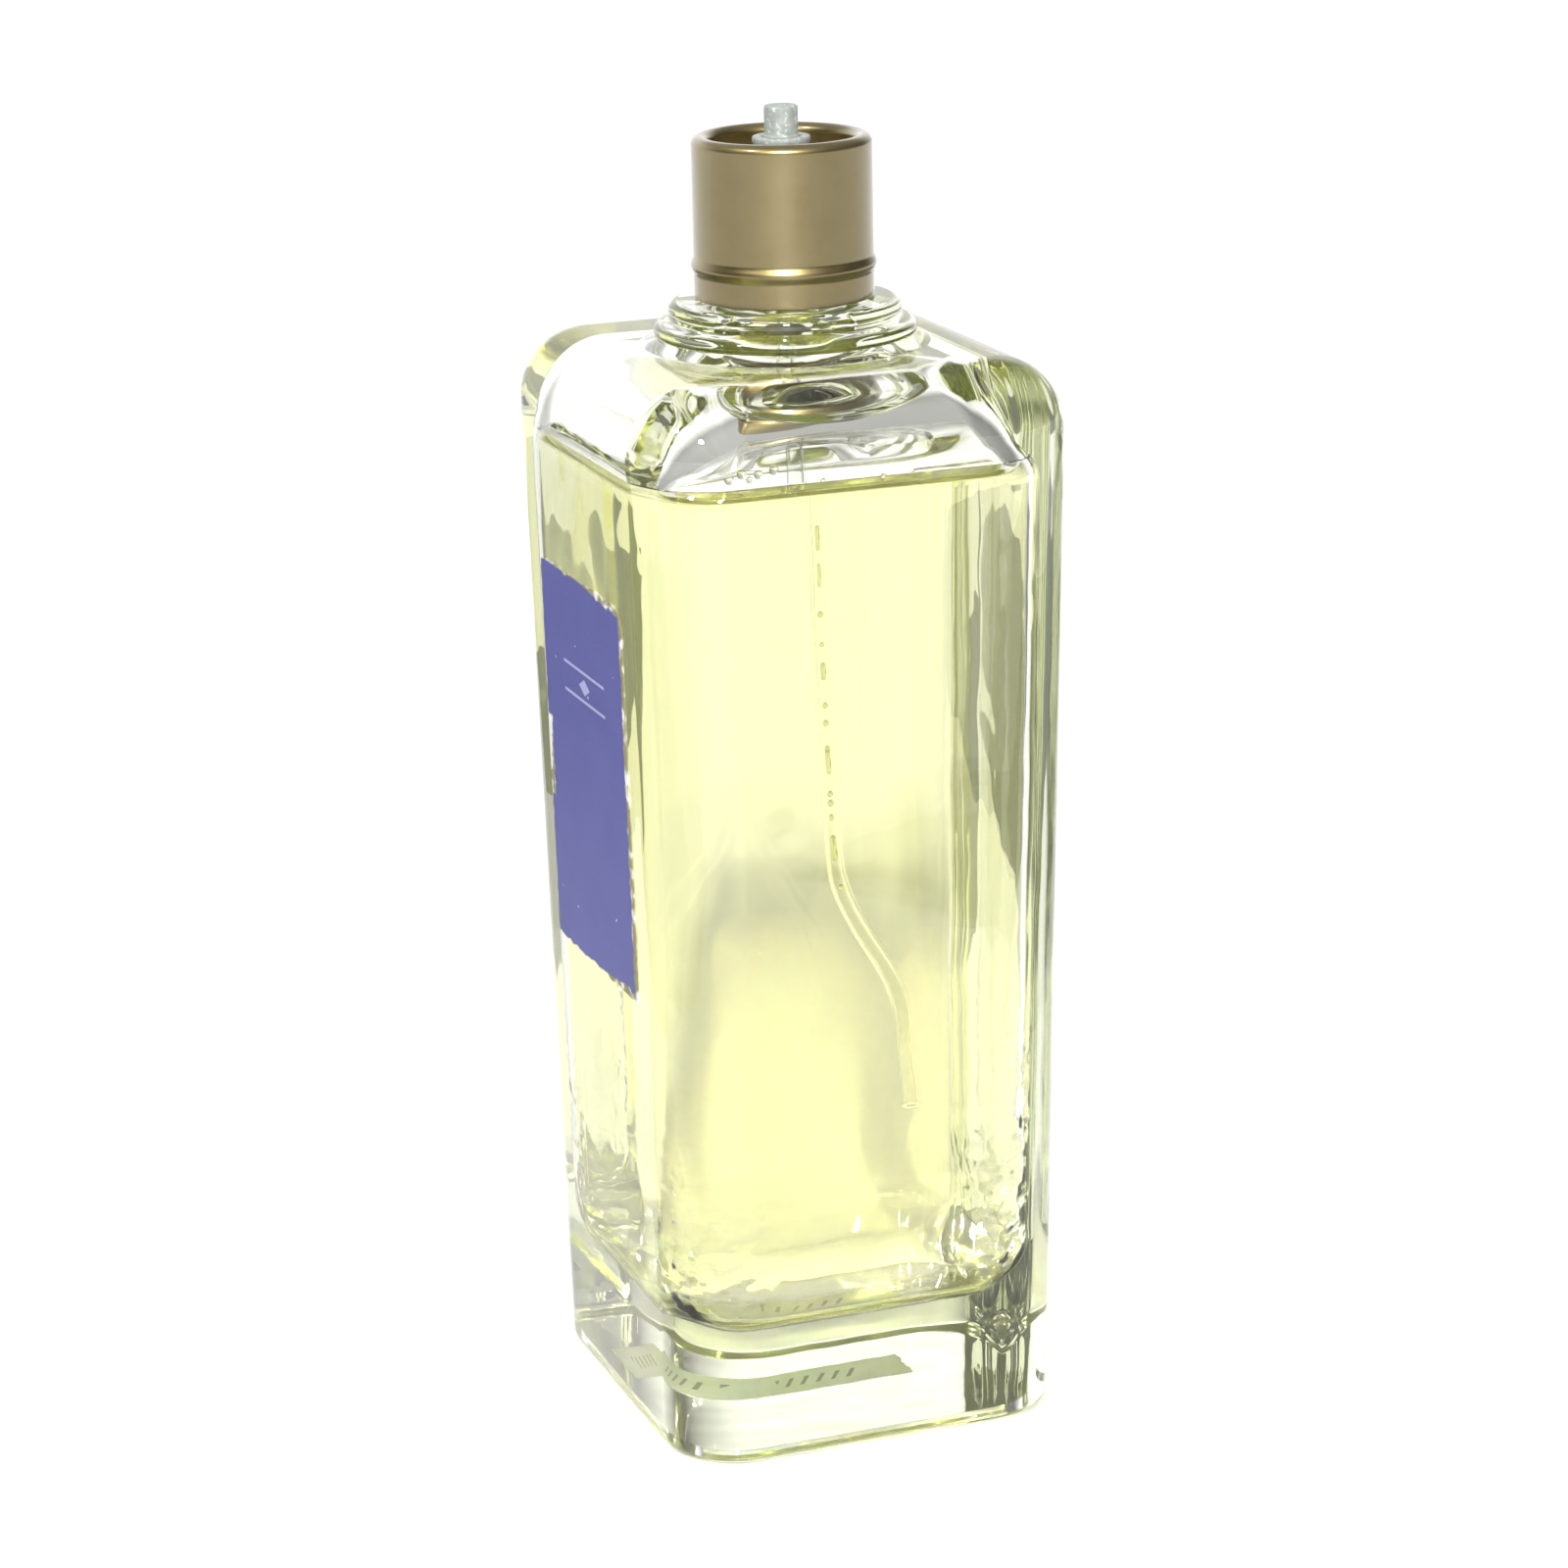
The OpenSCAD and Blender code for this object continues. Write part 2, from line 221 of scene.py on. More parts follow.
hollow = tapered_block("hollow", wall_t, base_t, dome_z)
pick(hollow, "edges", lambda e: middle(e).z < dome_z - 1e-5)
bpy.ops.mesh.bevel(offset=cavity_r, segments=12, profile=0.5, clamp_overlap=True)
pick(hollow, "faces", lambda f: f.normal.z > 0.99 and f.calc_center_median().z > dome_z - 1e-5)
half_w = half_before = body_w / 2 - body_draft / 2 * (1 - dome_z / body_h) - wall_t
z = dome_z
slopes = [math.radians(dome_arc * k / 10) for k in range(1, 11)]
vault = [(dome_r * (1 - math.cos(a)), dome_z + dome_r * math.sin(a)) for a in slopes]
vault.append((half_w - roof_half, vault[-1][1] + roof_rise))
for inset, next_z in vault:
    bpy.ops.mesh.extrude_region_move(TRANSFORM_OT_translate={"value": (0, 0, next_z - z)})
    shrink = (half_w - inset) / half_before
    bpy.ops.transform.resize(value=(shrink, shrink, 1))
    half_before, z = half_w - inset, next_z
bpy.ops.mesh.select_all(action="SELECT")
bpy.ops.mesh.normals_make_consistent(inside=False)
bpy.ops.object.mode_set(mode="OBJECT")
hollow_only = hollow.copy()
hollow_only.data = hollow.data.copy()
bpy.context.collection.objects.link(hollow_only)
bore = turned("bore", [
    (7.6, 104.5), (7.6, 106.6), (6.6, 106.95), (5.8, 107.6), (5.2, 108.4), (4.85, 109.4), (4.7, 110.8),
    (4.7, 122.6), (4.78, 123.2), (5.0, 123.7), (5.4, 124.05), (5.4, 125)])
joined(hollow, bore, "UNION")
joined(glass, hollow, "DIFFERENCE")

punt = tapered_block("punt", punt_margin, -1 * MM, punt_depth)
pick(punt, "edges", is_upright)
bpy.ops.mesh.bevel(offset=corner_r - punt_margin, segments=8, profile=0.5, clamp_overlap=True)
bpy.ops.object.mode_set(mode="OBJECT")
joined(glass, punt, "DIFFERENCE")
only(glass)
bpy.ops.object.mode_set(mode="EDIT")
bpy.ops.mesh.select_all(action="SELECT")
merge_gap = 0.002 * MM
bpy.ops.mesh.remove_doubles(threshold=merge_gap)
bpy.ops.mesh.normals_make_consistent(inside=False)
bpy.ops.object.mode_set(mode="OBJECT")
smoothed(glass)


def new_material(name):
    """An empty node material with its Principled BSDF, and the two ends that others are linked to."""
    material = bpy.data.materials.new(name)
    material.use_nodes = True
    tree = material.node_tree
    return material, tree, tree.nodes["Principled BSDF"]


def linked(tree, kind, settings=None, **inputs):
    """Adds a node. Each input is a plain value, or an output socket that is linked to it."""
    node = tree.nodes.new(kind)
    for key, value in (settings or {}).items():
        setattr(node, key, value)
    for key, value in inputs.items():
        socket = node.inputs[int(key[1:])] if key[0] == "i" and key[1:].isdigit() else node.inputs[key]
        if isinstance(value, bpy.types.NodeSocket):
            tree.links.new(value, socket)
        else:
            socket.default_value = value
    return node


def pattern(tree, kind, size, stretch=(1, 1, 1), **inputs):
    """A Noise or Voronoi texture on the frame's own coordinates, with features of this size in mm."""
    place = linked(tree, "ShaderNodeTexCoord")
    turn = linked(tree, "ShaderNodeMapping", None, Vector=place.outputs["Object"])
    turn.inputs["Scale"].default_value = [k / (size * MM) for k in stretch]
    return linked(tree, kind, None, Vector=turn.outputs["Vector"], Scale=1.0, **inputs)


def faded(tree, value, low, high, to_low=0.0, to_high=1.0):
    """Stretches part of a pattern's range to another range."""
    return linked(tree, "ShaderNodeMapRange", None, Value=value, **{
        "From Min": low, "From Max": high, "To Min": to_low, "To Max": to_high}).outputs["Result"]


def maths(tree, operation, *values):
    """A Math node on one to three values or sockets."""
    inputs = {f"i{n}": value for n, value in enumerate(values)}
    return linked(tree, "ShaderNodeMath", {"operation": operation}, **inputs).outputs["Value"]


def position(tree):
    """The X, Y and Z of the frame's own coordinates."""
    place = linked(tree, "ShaderNodeTexCoord")
    axes = linked(tree, "ShaderNodeSeparateXYZ", None, Vector=place.outputs["Object"])
    return axes.outputs["X"], axes.outputs["Y"], axes.outputs["Z"]


def see_through(name, ior, color=(1, 1, 1), roughness=0.0):
    """A clear material with this refractive index."""
    material, tree, shader = new_material(name)
    shader.inputs["Base Color"].default_value = (*color, 1)
    shader.inputs["Roughness"].default_value = roughness
    shader.inputs["Transmission Weight"].default_value = 1.0
    shader.inputs["IOR"].default_value = ior
    return material, tree, shader


def tinted(tree, color, density):
    """Colours the light that passes through a clear material. Density is per metre of glass or lotion."""
    tint = linked(tree, "ShaderNodeVolumeAbsorption", None, Color=(*color, 1), Density=density)
    tree.links.new(tint.outputs["Volume"], tree.nodes["Material Output"].inputs["Volume"])


# Blown glass is never quite flat, and it wrinkles where it chills first: in the hollow's lower corners.
clear_glass, tree, shader = see_through("clear_glass", 1.52)
waves = pattern(tree, "ShaderNodeTexNoise", 9, Detail=1.0, Roughness=0.4)
wave_depth = 0.3 * MM
ripple = linked(tree, "ShaderNodeBump", None, Strength=0.35, Distance=wave_depth,
                Height=waves.outputs["Fac"])
x, y, z = position(tree)
side_x = maths(tree, "ABSOLUTE", x)
side_y = maths(tree, "ABSOLUTE", y)
in_corner = maths(tree, "MULTIPLY", faded(tree, side_x, 11 * MM, 15 * MM),
                  faded(tree, side_y, 9 * MM, 14 * MM))
near_floor = maths(tree, "MULTIPLY", faded(tree, z, 42 * MM, 22 * MM), faded(tree, z, 14 * MM, 17 * MM))
inside_w = 19.4 * MM
on_inside = maths(tree, "LESS_THAN", maths(tree, "MAXIMUM", side_x, side_y), inside_w)
chilled = maths(tree, "MULTIPLY", on_inside, maths(tree, "MULTIPLY", in_corner, near_floor))
lumps = pattern(tree, "ShaderNodeTexNoise", 2.4, Detail=1.5, Roughness=0.5)
lump_depth = 0.42 * MM
lumpy = linked(tree, "ShaderNodeBump", None, Strength=1.0, Distance=lump_depth, Height=maths(
    tree, "MULTIPLY", chilled, lumps.outputs["Fac"]), Normal=ripple.outputs["Normal"])
tree.links.new(lumpy.outputs["Normal"], shader.inputs["Normal"])
tinted(tree, (0.78, 0.81, 0.56), 19.0)
glass.data.materials.append(clear_glass)
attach(glass, "bottle")
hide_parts("glass_bottle")


# ---- Lotion ----
# Pale yellow alcohol lotion that nearly fills the hollow. Its edge climbs the glass in a low meniscus.
# It laps a tenth of a millimetre into the wall, so that no film of air shows between them.

fill_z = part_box("lotion")[1].z
lap = 0.1 * MM
meniscus_h = 1.6 * MM
meniscus_step = 0.25 * MM
lotion = hollow_only
lotion.name = "lotion_fill"
only(lotion)
step = lotion.modifiers.new("lap", "DISPLACE")
step.strength = lap
step.mid_level = 0
bpy.ops.object.modifier_apply(modifier="lap")
bpy.ops.object.mode_set(mode="EDIT")
bpy.ops.mesh.select_all(action="SELECT")
bpy.ops.mesh.bisect(
    plane_co=(0, 0, fill_z + meniscus_h), plane_no=(0, 0, 1), use_fill=True, clear_outer=True)
pick(lotion, "faces", lambda f: f.normal.z > 0.99 and f.calc_center_median().z > fill_z)
climb = [meniscus_h * math.exp(-k * 0.45) for k in range(9)]
for high, low in zip(climb, climb[1:] + [0]):
    bpy.ops.mesh.inset(thickness=meniscus_step, depth=0)
    bpy.ops.transform.translate(value=(0, 0, low - high))
bpy.ops.object.mode_set(mode="OBJECT")
smoothed(lotion, 50)

lotion_ior = 1.36
yellow_lotion, tree, shader = see_through("yellow_lotion", lotion_ior)
tinted(tree, (0.96, 0.96, 0.36), 23.0)
lotion.data.materials.append(yellow_lotion)
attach(lotion, "bottle")
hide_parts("lotion")


# ---- Drops on the glass ----
# Lotion that splashed up and stayed on the inside of the wall over the surface, in small flattened beads.

def drop(place, r):
    """A bead that hangs on the wall, flattened across it and a little heavier at the bottom."""
    bpy.ops.object.select_all(action="DESELECT")
    bpy.ops.mesh.primitive_uv_sphere_add(segments=20, ring_count=12, radius=r * MM, location=(0, 0, 0))
    bead = started("bead")
    bpy.ops.object.mode_set(mode="EDIT")
    bpy.ops.mesh.select_all(action="SELECT")
    bpy.ops.transform.resize(value=(0.6, 1, 1.15))
    pick(bead, "verts", lambda v: v.co.z > 0.3 * r * MM)
    bpy.ops.transform.resize(value=(1, 1, 0.7), center_override=(0, 0, 0))
    bpy.ops.mesh.select_all(action="SELECT")
    bpy.ops.transform.translate(value=place)
    bpy.ops.object.mode_set(mode="OBJECT")
    bpy.ops.object.shade_smooth()
    return bead


def merged(pieces, name):
    """Joins loose pieces of one kind into one object."""
    only(pieces[0])
    for piece in pieces[1:]:
        piece.select_set(True)
    bpy.ops.object.join()
    pieces[0].name = name
    pieces[0].data.name = name
    return pieces[0]


wall_x = body_w / 2 - body_draft / 2 * (1 - fill_z / body_h) - wall_t
drop_x = wall_x - 0.95 * MM
beads = []
for y, up, r in (
        (-13.6, 2.6, 0.42), (-12.4, 3.1, 0.5), (-11.6, 2.5, 0.34), (-10.7, 2.9, 0.46), (-9.1, 3.2, 0.5),
        (-4.0, 1.7, 0.3), (2.2, 1.5, 0.36), (5.4, 1.6, 0.28)):
    beads.append(drop((drop_x, y * MM, fill_z + up * MM), r))
wall_drops = merged(beads, "wall_drops")
drop_lotion, tree, shader = see_through("drop_lotion", lotion_ior, (1, 1, 0.93))
wall_drops.data.materials.append(drop_lotion)
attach(wall_drops, "bottle")


# ---- Front label ----
# Coated paper printed blue-violet all over, glued on the front face, with a plain white back. The print is
# rubbed through to the paper along the edges, one top corner is worn off, and the far edge is torn.

label_low, label_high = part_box("front_label")
label_w = label_high.x - label_low.x
label_mid_z = (label_low.z + label_high.z) / 2
label_h = label_high.z - label_low.z
paper_t = 0.12 * MM
draft_angle = math.atan(body_draft / 2 / body_h)


def paper(name, width, height, columns, rows):
    """A flat sheet of paper in fine cells, still lying on XY round the origin."""
    bpy.ops.object.select_all(action="DESELECT")
    bpy.ops.mesh.primitive_grid_add(x_subdivisions=columns, y_subdivisions=rows, size=1)
    sheet = started(name)
    bpy.ops.object.mode_set(mode="EDIT")
    bpy.ops.mesh.select_all(action="SELECT")
    bpy.ops.transform.resize(value=(width, height, 1))
    return sheet


def frayed(sheet, width, height, amount):
    """Moves the rim of a flat sheet in and out by up to this much, as cut paper wears."""
    rim = 0.6 * MM
    work = bmesh.from_edit_mesh(sheet.data)
    for v in work.verts:
        near = min(width / 2 - abs(v.co.x), height / 2 - abs(v.co.y))
        if near < rim:
            bite = noise.noise(Vector((v.co.x, v.co.y, 0)) / (1.3 * MM)) + 0.35
            v.co *= 1 - max(0, bite) * amount * (1 - near / rim) / (width / 2)
    bmesh.update_edit_mesh(sheet.data)


def thickened(sheet, thickness):
    """Gives a flat sheet its thickness, and keeps its edges sharp."""
    step = sheet.modifiers.new("thickness", "SOLIDIFY")
    step.thickness = thickness
    step.offset = 1
    bpy.ops.object.modifier_apply(modifier="thickness")
    bpy.ops.object.shade_smooth_by_angle(angle=math.radians(40))


def torn_away(v):
    """Whether a point of the front label lies in its worn corner, its torn notch or a nick."""
    x, y = v.x / MM, v.y / MM
    jag = 0.7 * noise.noise(v / (0.9 * MM))
    corner = (x - 12.9) + (y - 20.4) * 1.25 > -2.2 + jag
    notch = x < -12.8 + jag and -4.9 < y < 3.6
    rip = ((x + 13.2) / 1.1) ** 2 + ((y - 0.2) / 3.2) ** 2 < 1 + jag
    nick = ((x + 5.4) / 1.1) ** 2 + ((y - 20.6) / 0.75) ** 2 < 1 + jag
    return corner or notch or rip or nick


label = paper("label_front", label_w, label_h / math.cos(draft_angle), 92, 146)
pick(label, "faces", lambda f: torn_away(f.calc_center_median()))
bpy.ops.mesh.delete(type="FACE")
frayed(label, label_w, label_h, 0.28 * MM)
bpy.ops.mesh.select_all(action="SELECT")
bpy.ops.object.mode_set(mode="OBJECT")
face_y = -(body_d / 2 - body_draft / 2 * (1 - label_mid_z / body_h))
label.rotation_euler = (math.pi / 2 + draft_angle, 0, 0)
label.location = (0, face_y - 0.01 * MM, label_mid_z)
bpy.ops.object.transform_apply(location=True, rotation=True, scale=True)
thickened(label, paper_t)


def mixed(tree, factor, first, second):
    """A Color mix of two colours or sockets."""
    return linked(tree, "ShaderNodeMix", {"data_type": "RGBA"}, i0=factor, i6=first, i7=second).outputs[2]


label_paper, tree, shader = new_material("label_paper")
x, y, z = position(tree)
across = maths(tree, "ABSOLUTE", x)
from_side = maths(tree, "SUBTRACT", label_w / 2, across)
up = maths(tree, "SUBTRACT", z, label_mid_z)
from_end = maths(tree, "SUBTRACT", label_h / 2, maths(tree, "ABSOLUTE", up))
from_edge = maths(tree, "MINIMUM", from_side, from_end)
near_side = faded(tree, x, 0.0, 9 * MM, 0.25, 1.0)
ragged = pattern(tree, "ShaderNodeTexNoise", 1.6, Detail=5.0, Roughness=0.65)
reach = maths(tree, "MULTIPLY", maths(tree, "MULTIPLY", ragged.outputs["Fac"], 1.9 * MM), near_side)
worn = faded(tree, maths(tree, "SUBTRACT", reach, from_edge), -0.06 * MM, 0.10 * MM)
specks = pattern(tree, "ShaderNodeTexNoise", 1.1, Detail=2.0, Roughness=0.5)
speck = faded(tree, specks.outputs["Fac"], 0.75, 0.775)
ragged_x = maths(tree, "ADD", x, maths(tree, "MULTIPLY", ragged.outputs["Fac"], 2.4 * MM))
from_tear = maths(tree, "ABSOLUTE", maths(tree, "ADD", up, 0.7 * MM))
peeled = maths(tree, "MULTIPLY", maths(tree, "LESS_THAN", ragged_x, -10.4 * MM),
               maths(tree, "LESS_THAN", from_tear, 4.3 * MM))
blotch = pattern(tree, "ShaderNodeTexNoise", 7, Detail=3.0)
print_grain = pattern(tree, "ShaderNodeTexNoise", 0.22, Detail=2.0)
tone = mixed(tree, blotch.outputs["Fac"], (0.054, 0.058, 0.235, 1), (0.088, 0.093, 0.32, 1))
ink = mixed(tree, faded(tree, print_grain.outputs["Fac"], 0.3, 0.7, 0, 0.22), tone, (0.12, 0.125, 0.34, 1))
mark_up = 9.3 * MM
rule_half = 6.4 * MM
rule_gap = 1.5 * MM
rule_t = 0.16 * MM
lozenge_h = 0.85 * MM
from_mark = maths(tree, "ABSOLUTE", maths(tree, "SUBTRACT", up, mark_up))
inside = maths(tree, "LESS_THAN", across, rule_half)
rule = maths(tree, "COMPARE", from_mark, rule_gap, rule_t)
lozenge = maths(tree, "LESS_THAN", maths(tree, "ADD", from_mark, maths(tree, "MULTIPLY", across, 0.5)),
                lozenge_h)
mark = maths(tree, "MAXIMUM", maths(tree, "MULTIPLY", inside, rule), lozenge)
printed = mixed(tree, maths(tree, "MULTIPLY", mark, 0.55), ink, (0.55, 0.56, 0.78, 1))
flakes = pattern(tree, "ShaderNodeTexNoise", 2.2, Detail=3.0)
bare = mixed(tree, faded(tree, flakes.outputs["Fac"], 0.48, 0.62),
             (0.25, 0.23, 0.13, 1), (0.72, 0.72, 0.64, 1))
shader.inputs["Specular IOR Level"].default_value = 0.2
rubbed = maths(tree, "MAXIMUM", maths(tree, "MAXIMUM", worn, speck), peeled)
top = mixed(tree, rubbed, printed, bare)
tree.links.new(top, shader.inputs["Base Color"])
tree.links.new(faded(tree, worn, 0, 1, 0.42, 0.85), shader.inputs["Roughness"])
fibres = pattern(tree, "ShaderNodeTexNoise", 0.35, (1, 1, 0.4), Detail=4.0)
paper_relief = maths(tree, "SUBTRACT", maths(tree, "MULTIPLY", fibres.outputs["Fac"], 0.3), worn)
relief = linked(tree, "ShaderNodeBump", None, Strength=0.35, Distance=0.06 * MM, Height=paper_relief)
tree.links.new(relief.outputs["Normal"], shader.inputs["Normal"])
label.data.materials.append(label_paper)
plain_back, tree, shader = new_material("label_back")
pulp = pattern(tree, "ShaderNodeTexNoise", 0.8, Detail=4.0)
tree.links.new(mixed(tree, pulp.outputs["Fac"], (0.60, 0.60, 0.56, 1), (0.76, 0.76, 0.72, 1)),
               shader.inputs["Base Color"])
shader.inputs["Roughness"].default_value = 0.8
label.data.materials.append(plain_back)
for polygon in label.data.polygons:
    polygon.material_index = int(polygon.normal.y > 0.7)
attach(label, "bottle")
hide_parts("front_label")


# ---- Base sticker ----
# Small grey paper sticker in the hollow under the foot, read from below. A row of plain slanted strokes is
# printed on it.

sticker_low, sticker_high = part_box("base_label")
sticker_w = sticker_high.x - sticker_low.x
sticker_l = sticker_high.y - sticker_low.y
sticker = paper("label_base", sticker_w, sticker_l, 40, 60)
frayed(sticker, sticker_w, sticker_l, 0.15 * MM)
bpy.ops.mesh.select_all(action="SELECT")
sticker_x = (sticker_low.x + sticker_high.x) / 2
sticker_y = (sticker_low.y + sticker_high.y) / 2
bpy.ops.transform.translate(value=(sticker_x, sticker_y, sticker_low.z))
bpy.ops.object.mode_set(mode="OBJECT")
glue_t = 0.04 * MM
thickened(sticker, paper_t + glue_t)

sticker_paper, tree, shader = new_material("sticker_paper")
x, y, _ = position(tree)
stroke_pitch = 1.7 * MM
stroke_half = 1.6 * MM
row_half = 4.6 * MM
across = maths(tree, "SUBTRACT", x, sticker_x)
along = maths(tree, "SUBTRACT", y, sticker_y)
slant = maths(tree, "ADD", along, maths(tree, "MULTIPLY", across, 0.4))
strokes = maths(tree, "FRACT", maths(tree, "DIVIDE", slant, stroke_pitch))
in_stroke = maths(tree, "LESS_THAN", maths(tree, "ABSOLUTE", across), stroke_half)
in_row = maths(tree, "LESS_THAN", maths(tree, "ABSOLUTE", along), row_half)
code = maths(tree, "MULTIPLY", maths(tree, "LESS_THAN", strokes, 0.3),
             maths(tree, "MULTIPLY", in_stroke, in_row))
mottle = pattern(tree, "ShaderNodeTexNoise", 2.5, Detail=4.0)
plain = mixed(tree, mottle.outputs["Fac"], (0.46, 0.48, 0.47, 1), (0.60, 0.62, 0.60, 1))
printed = mixed(tree, maths(tree, "MULTIPLY", code, 0.8), plain, (0.10, 0.11, 0.10, 1))
tree.links.new(printed, shader.inputs["Base Color"])
shader.inputs["Roughness"].default_value = 0.7
fibres = pattern(tree, "ShaderNodeTexNoise", 0.3, Detail=4.0)
relief = linked(tree, "ShaderNodeBump", None, Strength=0.3, Distance=0.05 * MM, Height=fibres.outputs["Fac"])
tree.links.new(relief.outputs["Normal"], shader.inputs["Normal"])
sticker.data.materials.append(sticker_paper)
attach(sticker, "bottle")
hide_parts("base_label")


# ---- Collar ----
# Thin aluminium sheet, drawn and turned over at the top into a rolled rim, with a rolled bead low on its
# wall, anodised a muted champagne gold over fine turning marks. It is pressed over the crimped pump.

def surface_marks():
    """Node group for handled surfaces: fine grain as a height, broad tone, and a mask of scuffs."""
    group = bpy.data.node_groups.new("surface_marks", "ShaderNodeTree")
    for name, value in (("Grain size", 0.2), ("Grain stretch", 1.0), ("Tone size", 5.0), ("Scuff size", 1.5),
                        ("Scuff level", 0.66)):
        socket = group.interface.new_socket(name=name, in_out="INPUT", socket_type="NodeSocketFloat")
        socket.default_value = value
    for name in ("Height", "Tone", "Scuff"):
        group.interface.new_socket(name=name, in_out="OUTPUT", socket_type="NodeSocketFloat")
    given = group.nodes.new("NodeGroupInput").outputs
    result = group.nodes.new("NodeGroupOutput")
    place = linked(group, "ShaderNodeTexCoord").outputs["Object"]
    stretched = linked(group, "ShaderNodeCombineXYZ", None, X=1.0, Y=1.0, Z=given["Grain stretch"])
    drawn = linked(group, "ShaderNodeVectorMath", {"operation": "MULTIPLY"}, i0=place,
                   i1=stretched.outputs["Vector"]).outputs["Vector"]

    def field(size, vector, detail):
        scale = maths(group, "DIVIDE", 1 / MM, size)
        return linked(group, "ShaderNodeTexNoise", None, Vector=vector, Scale=scale, Detail=detail,
                      Roughness=0.6).outputs["Fac"]

    scuff = field(given["Scuff size"], drawn, 6.0)
    edge = maths(group, "ADD", given["Scuff level"], 0.06)
    mask = linked(group, "ShaderNodeMapRange", None, Value=scuff, **{
        "From Min": given["Scuff level"], "From Max": edge}).outputs["Result"]
    group.links.new(field(given["Grain size"], drawn, 4.0), result.inputs["Height"])
    group.links.new(field(given["Tone size"], place, 3.0), result.inputs["Tone"])
    group.links.new(mask, result.inputs["Scuff"])
    return group


marks = surface_marks()


def finish(name, dark, light, scuffed, roughness, grain, relief, stretch=1.0, tone=5.0, scuff=1.5,
           level=0.66):
    """A material of two close tones with grain in its height, and scuffs of another colour. Sizes in mm."""
    material, tree, shader = new_material(name)
    group = linked(tree, "ShaderNodeGroup", {"node_tree": marks}, **{
        "Grain size": grain, "Grain stretch": stretch, "Tone size": tone, "Scuff size": scuff,
        "Scuff level": level})
    base = mixed(tree, faded(tree, group.outputs["Tone"], 0.3, 0.7), (*dark, 1), (*light, 1))
    tree.links.new(mixed(tree, group.outputs["Scuff"], base, (*scuffed, 1)), shader.inputs["Base Color"])
    satin = faded(tree, group.outputs["Tone"], 0.3, 0.7, roughness * 0.85, roughness * 1.15)
    rough = maths(tree, "ADD", satin, maths(tree, "MULTIPLY", group.outputs["Scuff"], 0.15))
    tree.links.new(rough, shader.inputs["Roughness"])
    bump = linked(tree, "ShaderNodeBump", None, Strength=relief, Distance=0.02 * MM,
                  Height=group.outputs["Height"])
    tree.links.new(bump.outputs["Normal"], shader.inputs["Normal"])
    return material, shader


def edged(piece, width, segments=2):
    """Rounds a turned piece's sharp edges by this many mm, then shades it smooth."""
    only(piece)
    step = piece.modifiers.new("edges", "BEVEL")
    step.width = width * MM
    step.segments = segments
    step.limit_method = "ANGLE"
    step.angle_limit = math.radians(40)
    bpy.ops.object.modifier_apply(modifier="edges")
    return smoothed(piece, 40)


def fitted(piece, node, body, material):
    """Gives a piece its material, and lets it stand for its CAD node on that body."""
    piece.data.materials.clear()
    piece.data.materials.append(material)
    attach(piece, body)
    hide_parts(node)


def foot_and_top(node):
    """Heights of a CAD node's two ends, in mm."""
    low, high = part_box(node)
    return low.z / MM, high.z / MM


foot_z, rim_z = foot_and_top("collar")
collar_r = 9.0
sheet_t = 0.4
roll_r = 0.9
roll_z = rim_z - roll_r
bead_z = foot_z + 3.3
bead_out = 0.28
bead_half = 0.95
bead = [(collar_r + bead_out * (0.5 + 0.5 * math.cos(math.pi * k / 6)), bead_z + bead_half * k / 6)
        for k in range(-6, 7)]
collar = turned("collar_shell", [
    (collar_r - sheet_t, foot_z), (collar_r - 0.12, foot_z), (collar_r - 0.03, foot_z + 0.05),
    (collar_r, foot_z + 0.15), *bead, (collar_r, bead_z + 5.5),
    *arc(collar_r - roll_r, roll_z, roll_r, 0, 180, 16),
    (collar_r - 2 * roll_r, roll_z - 1.2), (collar_r - 2 * roll_r + sheet_t, roll_z - 1.2),
    *arc(collar_r - roll_r, roll_z, roll_r - sheet_t, 180, 0, 10)], ring=True, sides=128)
smoothed(collar, 50)
champagne, shader = finish(
    "champagne_anodised", (0.24, 0.188, 0.075), (0.30, 0.24, 0.105), (0.18, 0.15, 0.08), 0.36,
    0.30, 0.10, stretch=14.0, tone=6.0, scuff=1.2, level=0.70)
shader.inputs["Metallic"].default_value = 1.0
shader.inputs["Anisotropic"].default_value = 0.3
shader.inputs["Coat Weight"].default_value = 1.0
shader.inputs["Coat Roughness"].default_value = 0.12
fitted(collar, "collar", "bottle", champagne)


# ---- Crimped closure ----
# An aluminium cup crimped under the glass bead over a rubber gasket, and a cream moulded ring that grips
# the cup and carries the collar.

_, ring_top = foot_and_top("collar_liner")
liner = turned("collar_ring", [
    (7.9, foot_z + 1), (8.6, foot_z + 1), (8.6, ring_top), (7.35, ring_top), (7.35, ring_top - 0.8),
    (7.9, ring_top - 0.8)], ring=True)
edged(liner, 0.12)
ring_plastic, shader = finish(
    "ring_plastic", (0.76, 0.66, 0.50), (0.88, 0.78, 0.62), (0.52, 0.43, 0.32), 0.45, 0.12, 0.2,
    scuff=0.8)
fitted(liner, "collar_liner", "bottle", ring_plastic)

